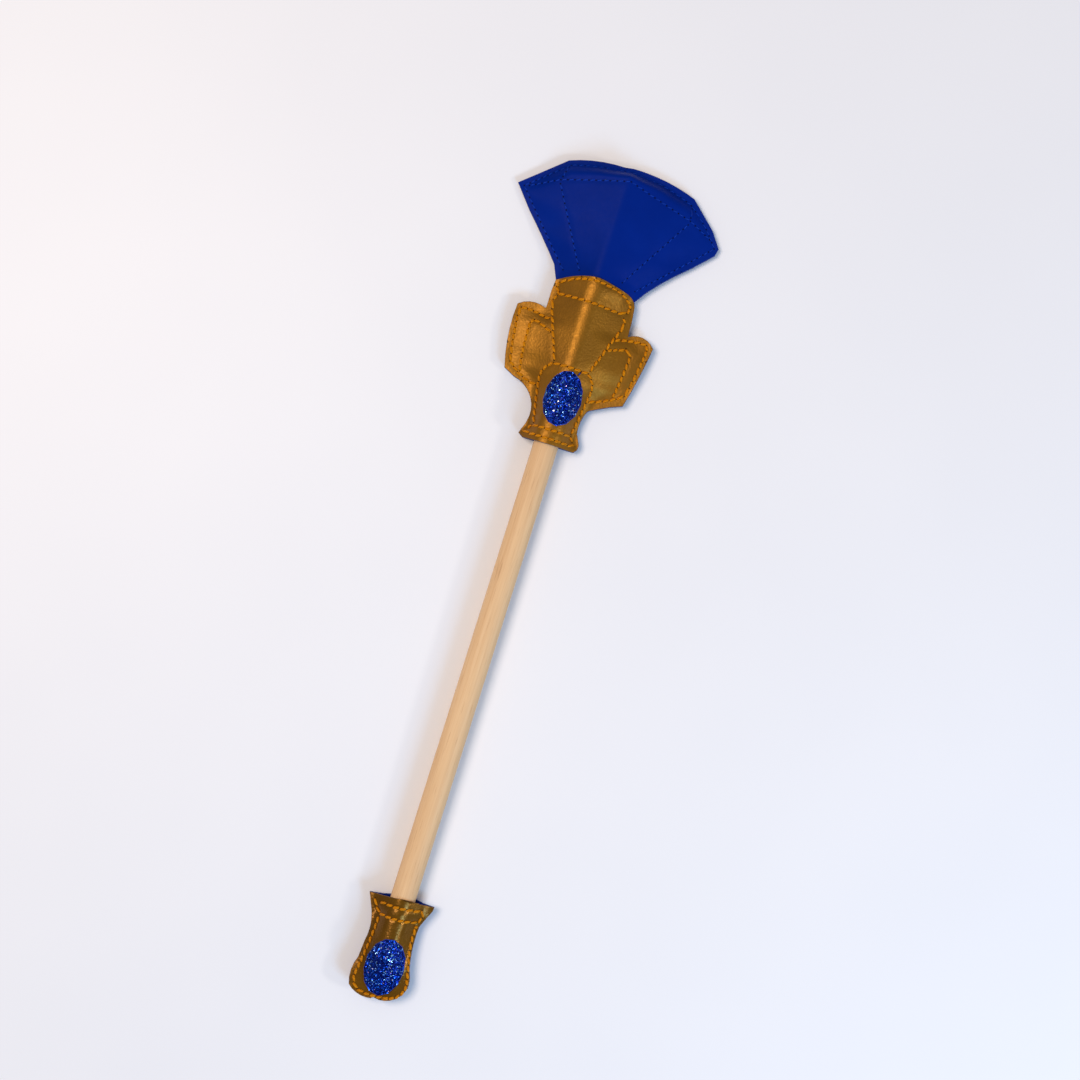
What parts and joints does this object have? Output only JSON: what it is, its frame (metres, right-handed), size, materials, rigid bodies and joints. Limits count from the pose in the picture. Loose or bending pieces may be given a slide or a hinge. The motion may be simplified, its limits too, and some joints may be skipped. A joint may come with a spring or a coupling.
{
  "type": "dress-up wand",
  "caption": "Dress-up wand: round wooden stick with a sewn flat fan-and-crest head and a sewn flared pommel, each with a glitter oval.",
  "frame": {"origin": "centre of the wand's bounding box in X and Y, on the surface it lies on (bounding box bottom)", "axes": "+Y along the stick to the head, +X to the wand's right seen from its decorated face, +Z out of that face, up"},
  "size_m": [0.08, 0.3278, 0.0137],
  "materials": {
    "wood": "bare, sanded, satin",
    "blue_vinyl": "smooth satin vinyl",
    "gold_leatherette": "metallic, finely pebbled",
    "blue_glitter": "coarse glitter",
    "gold_thread": "shiny polyester thread",
    "blue_thread": "shiny polyester thread"
  },
  "bodies": {
    "stick": {"dowel": "wood"},
    "head": {"head_back": "blue_vinyl", "head_front": "blue_vinyl", "crest_plate": "gold_leatherette", "head_gem": "blue_glitter", "head_gem_stitching": "blue_thread", "fan_edge_stitching": "blue_thread", "fan_facet_stitching": "blue_thread", "fan_left_rib_stitching": "blue_thread", "fan_right_rib_stitching": "blue_thread", "crest_band_stitching": "gold_thread", "crest_left_body_stitching": "gold_thread", "crest_right_body_stitching": "gold_thread", "left_wing_stitching": "gold_thread", "left_panel_stitching": "gold_thread", "right_wing_stitching": "gold_thread", "right_panel_stitching": "gold_thread", "gem_frame_stitching": "gold_thread", "crest_foot_stitching": "gold_thread", "head_back_stitching": "blue_thread"},
    "pommel": {"pommel_back": "blue_vinyl", "pommel_front": "gold_leatherette", "pommel_gem": "blue_glitter", "pommel_gem_stitching": "blue_thread", "pommel_edge_stitching": "gold_thread", "pommel_band_stitching": "gold_thread", "pommel_back_stitching": "blue_thread"}
  },
  "joints": [
    {"name": "head_pull_off", "type": "slide", "parent": "stick", "child": "head", "axis": [0, 1, 0], "range_m": [0, 0.1]},
    {"name": "pommel_pull_off", "type": "slide", "parent": "stick", "child": "pommel", "axis": [0, -1, 0], "range_m": [0, 0.02]}
  ]
}
